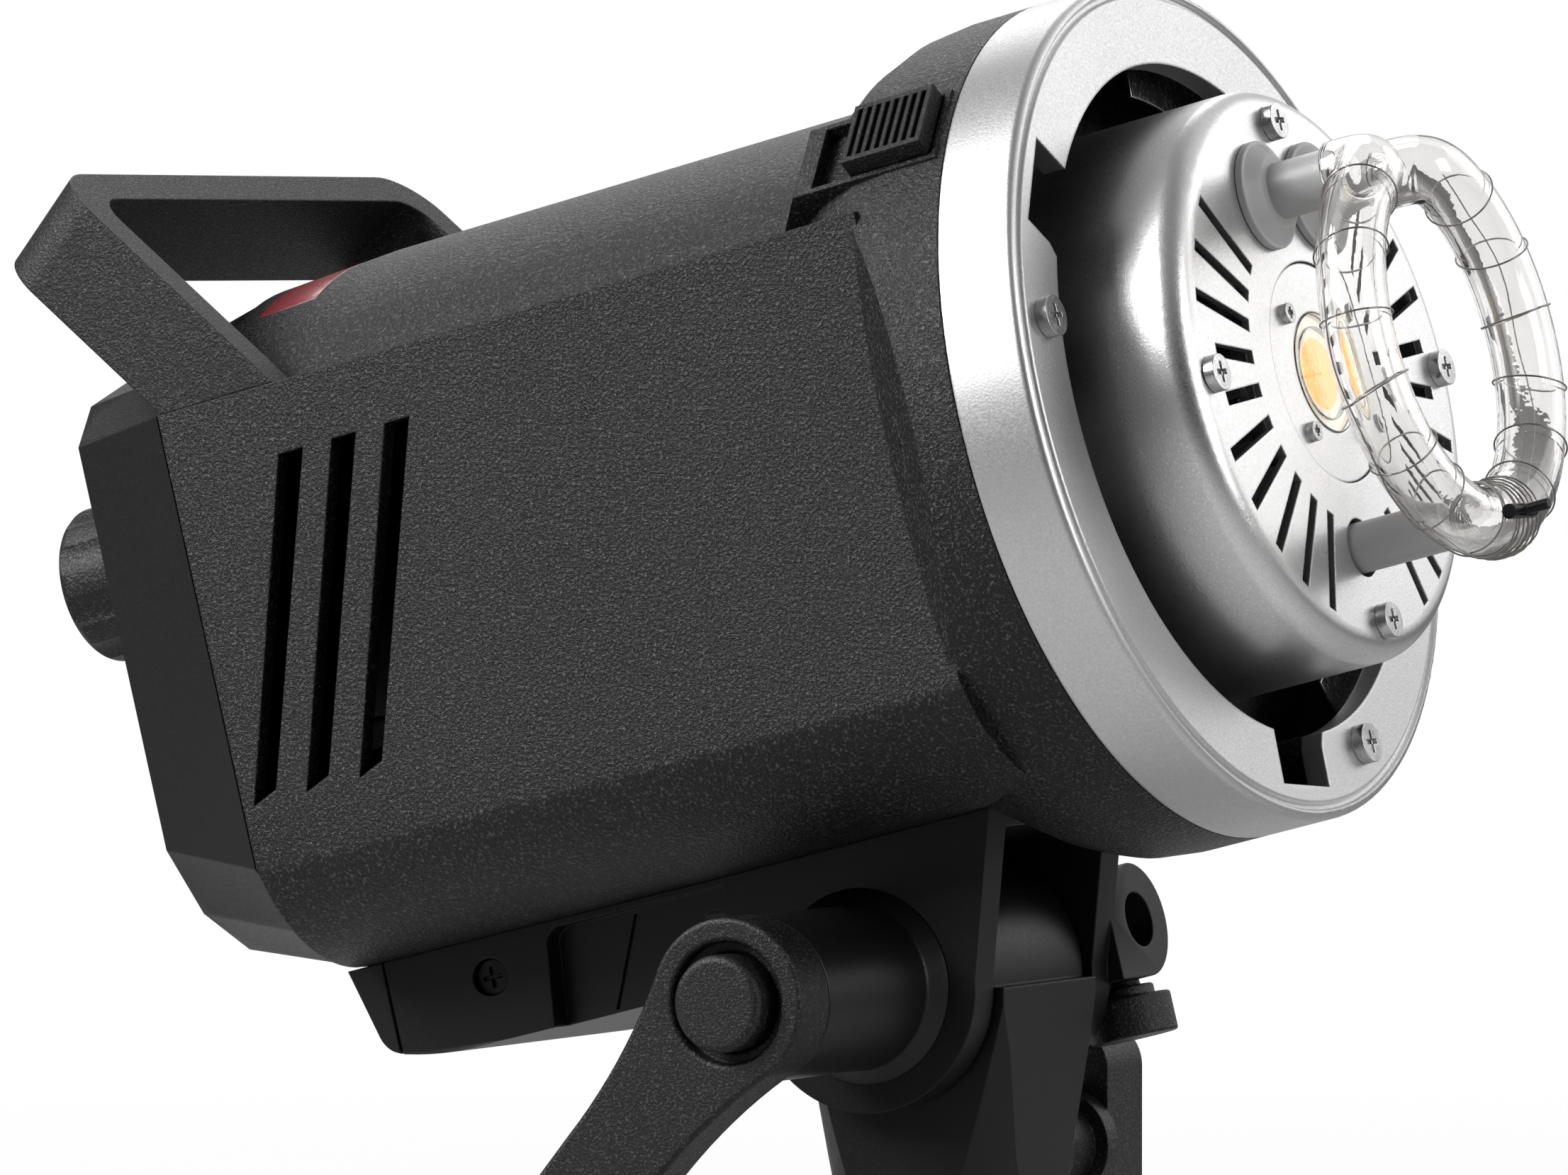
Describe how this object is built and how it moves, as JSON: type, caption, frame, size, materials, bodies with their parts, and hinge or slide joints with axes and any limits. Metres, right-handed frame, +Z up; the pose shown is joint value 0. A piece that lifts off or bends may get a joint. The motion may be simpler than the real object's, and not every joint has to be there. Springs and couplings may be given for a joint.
{
  "type": "monolight strobe",
  "caption": "Studio flash head with a barrel housing, bayonet ring, ring flash tube, modelling light, strap handle, tilting stand bracket with lever, and rear control panel.",
  "frame": {"origin": "centre of the stand socket's mouth", "axes": "+Z up the stand socket's axis, +X the way the lamp points when level, +Y to the umbrella side"},
  "size_m": [0.2305, 0.128, 0.2285],
  "materials": {
    "housing_plastic": "coarse moulded grain, satin black",
    "cover_plastic": "fine satin black",
    "grip_plastic": "fine grain black",
    "satin_silver": "bead-blasted satin silver",
    "steel": "bright zinc",
    "aluminium": "plain mill finish",
    "ceramic_grey": "unglazed light grey",
    "clear_glass": "clear quartz",
    "clear_plastic": "clear moulded",
    "phosphor": "yellow-orange phosphor",
    "sensor_tint": "translucent smoky pink",
    "display_dark": "dark liquid crystal",
    "circuit_board": "green solder mask",
    "copper_winding": "enamelled copper",
    "brass": "plated contact",
    "washer_nylon": "natural nylon"
  },
  "bodies": {
    "stand": {"stand_adapter": "housing_plastic"},
    "head": {"bayonet_ring": "satin_silver", "bayonet_springs": "steel", "capacitors": "aluminium", "carry_handle": "grip_plastic", "control_board": "circuit_board", "control_panel": "cover_plastic", "display_module": "display_dark", "display_window": "clear_plastic", "drum_screws": "steel", "encoder_switch": "grip_plastic", "fan_frame": "grip_plastic", "flash_tube": "clear_glass", "friction_washers": "washer_nylon", "front_bulkhead": "housing_plastic", "inlet_pins": "brass", "keel_cap": "housing_plastic", "keel_housing": "housing_plastic", "keel_screws": "steel", "lamp_chassis": "aluminium", "lamp_drum": "satin_silver", "led_emitter": "phosphor", "led_heat_sink": "aluminium", "led_lens": "clear_plastic", "led_plate": "satin_silver", "led_screws": "steel", "lever_spacer": "housing_plastic", "main_board": "circuit_board", "main_housing": "housing_plastic", "power_inlet": "grip_plastic", "rear_cover": "cover_plastic", "ring_screws": "steel", "sensor_window": "sensor_tint", "service_port": "steel", "switch_frame": "grip_plastic", "sync_jack": "steel", "tilt_bolt": "steel", "transformer": "copper_winding", "trigger_wire": "steel", "tube_clip": "steel", "tube_electrodes": "steel", "tube_posts": "ceramic_grey"},
    "tilt_lever": {"tilt_lever": "grip_plastic"},
    "lever_button": {"lever_button": "grip_plastic"},
    "stand_knob": {"stand_knob": "grip_plastic"},
    "clamp_pad": {"clamp_pad": "steel"},
    "umbrella_knob": {"umbrella_knob": "grip_plastic"},
    "umbrella_shoe": {"umbrella_shoe": "steel"},
    "release_slider": {"release_slider": "grip_plastic", "lock_pin": "steel"},
    "encoder_rotor": {"encoder_rotor": "grip_plastic"},
    "control_dial": {"control_dial": "grip_plastic", "encoder_shaft": "steel"},
    "power_rocker": {"power_rocker": "grip_plastic"},
    "fan_rotor": {"fan_rotor": "grip_plastic"},
    "model_button": {"model_button": "grip_plastic"},
    "sync_button": {"sync_button": "grip_plastic"},
    "group_button": {"group_button": "grip_plastic"},
    "sound_button": {"sound_button": "grip_plastic"},
    "test_button": {"test_button": "grip_plastic"}
  },
  "joints": [
    {"name": "head_tilt", "type": "hinge", "parent": "stand", "child": "head", "pos_m": [-0.003, 0, 0.062], "axis": [0, -1, 0], "range_deg": [-35, 40]},
    {"name": "lever_turn", "type": "hinge", "parent": "head", "child": "tilt_lever", "pos_m": [-0.003, 0, 0.062], "axis": [0, 1, 0], "range_deg": [-50, 50]},
    {"name": "lever_push", "type": "slide", "parent": "tilt_lever", "child": "lever_button", "axis": [0, 1, 0], "range_m": [0, 0.003], "stiffness_N_per_m": 300},
    {"name": "stand_knob_turn", "type": "hinge", "parent": "stand", "child": "stand_knob", "pos_m": [0, 0.044, 0.035], "axis": [0, 1, 0], "range_deg": [0, 360]},
    {"name": "clamp_slide", "type": "slide", "parent": "stand", "child": "clamp_pad", "axis": [0, -1, 0], "range_m": [0, 0.00125]},
    {"name": "umbrella_knob_turn", "type": "hinge", "parent": "head", "child": "umbrella_knob", "pos_m": [0.01435, 0.0295, 0.05675], "axis": [-0.2487, 0, 0.9686], "range_deg": [0, 360]},
    {"name": "umbrella_shoe_slide", "type": "slide", "parent": "head", "child": "umbrella_shoe", "axis": [-0.2487, 0, 0.9686], "range_m": [0, 0.0008]},
    {"name": "bayonet_release", "type": "slide", "parent": "head", "child": "release_slider", "axis": [-0.9686, 0, -0.2487], "range_m": [0, 0.006], "stiffness_N_per_m": 250},
    {"name": "dial_turn", "type": "hinge", "parent": "head", "child": "encoder_rotor", "pos_m": [-0.11836, -0.027, 0.12127], "axis": [-0.9686, 0, -0.2487], "continuous": true},
    {"name": "dial_push", "type": "slide", "parent": "encoder_rotor", "child": "control_dial", "axis": [0.9686, 0, 0.2487], "range_m": [0, 0.0006], "stiffness_N_per_m": 3000},
    {"name": "model_press", "type": "slide", "parent": "head", "child": "model_button", "axis": [0.9686, 0, 0.2487], "range_m": [0, 0.0005], "stiffness_N_per_m": 3000},
    {"name": "sync_press", "type": "slide", "parent": "head", "child": "sync_button", "axis": [0.9686, 0, 0.2487], "range_m": [0, 0.0005], "stiffness_N_per_m": 3000},
    {"name": "group_press", "type": "slide", "parent": "head", "child": "group_button", "axis": [0.9686, 0, 0.2487], "range_m": [0, 0.0005], "stiffness_N_per_m": 3000},
    {"name": "sound_press", "type": "slide", "parent": "head", "child": "sound_button", "axis": [0.9686, 0, 0.2487], "range_m": [0, 0.0005], "stiffness_N_per_m": 3000},
    {"name": "test_press", "type": "slide", "parent": "head", "child": "test_button", "axis": [0.9686, 0, 0.2487], "range_m": [0, 0.0005], "stiffness_N_per_m": 3000},
    {"name": "power_switch", "type": "hinge", "parent": "head", "child": "power_rocker", "pos_m": [-0.10734, 0.024, 0.08435], "axis": [0, 1, 0], "range_deg": [0, 16]},
    {"name": "fan_spin", "type": "hinge", "parent": "head", "child": "fan_rotor", "pos_m": [-0.06802, 0, 0.1182], "axis": [0.9686, 0, 0.2487], "continuous": true}
  ],
  "couplings": [
    {"joint": "clamp_slide", "follows": "stand_knob_turn", "m_per_rad": 0.00019894},
    {"joint": "umbrella_shoe_slide", "follows": "umbrella_knob_turn", "m_per_rad": 0.00012732}
  ]
}
